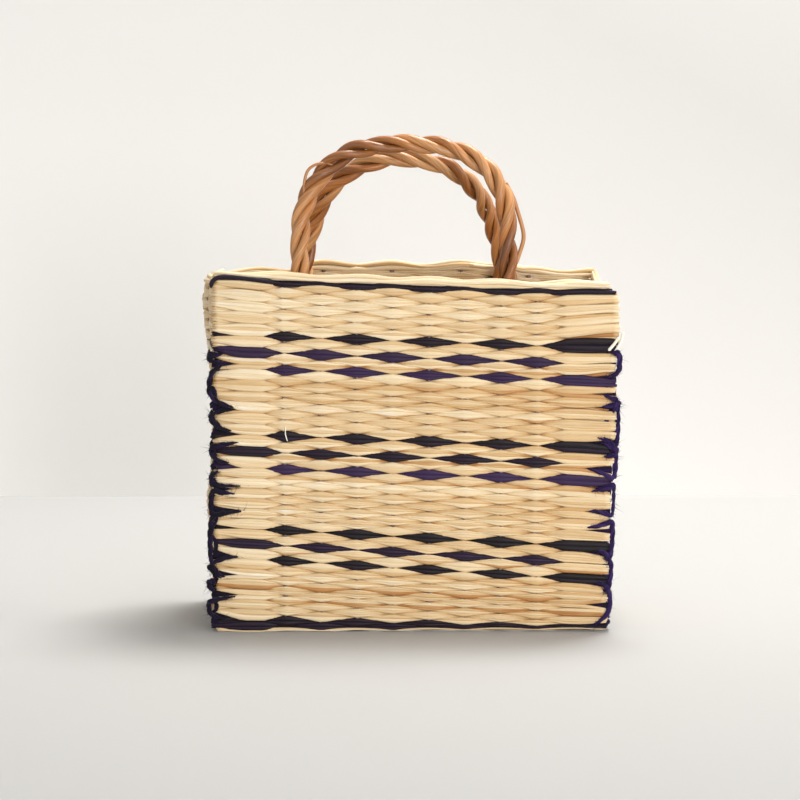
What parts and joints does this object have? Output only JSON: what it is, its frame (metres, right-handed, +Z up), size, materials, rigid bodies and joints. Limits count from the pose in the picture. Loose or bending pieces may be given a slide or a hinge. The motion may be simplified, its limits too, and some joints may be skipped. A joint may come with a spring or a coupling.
{
  "type": "woven box bag",
  "caption": "Open-topped box bag of woven rush with dyed diamond bands, wool-sewn side seams and arched handles of twisted willow rods.",
  "frame": {"origin": "middle of the base on the floor", "axes": "+Z up, the front faces -Y, +X to the right of a person who looks at the front"},
  "size_m": [0.2422, 0.1024, 0.2969],
  "materials": {
    "rush": "dry matte straw",
    "dyed_rush": "satin, dyed dark violet",
    "willow": "semi-gloss bark",
    "twine": "rough",
    "wool_yarn": "fuzzy wool"
  },
  "bodies": {
    "root": {"folded_mat": "rush", "left_side_mat": "rush", "right_side_mat": "rush", "front_dyed_reeds": "dyed_rush", "rear_dyed_reeds": "dyed_rush", "left_dyed_reeds": "dyed_rush", "right_dyed_reeds": "dyed_rush", "front_handle_rod_1": "willow", "front_handle_rod_2": "willow", "front_handle_rod_3": "willow", "rear_handle_rod_1": "willow", "rear_handle_rod_2": "willow", "rear_handle_rod_3": "willow", "front_left_binding": "twine", "front_right_binding": "twine", "rear_left_binding": "twine", "rear_right_binding": "twine", "left_seam_yarn": "wool_yarn", "right_seam_yarn": "wool_yarn"}
  },
  "joints": []
}
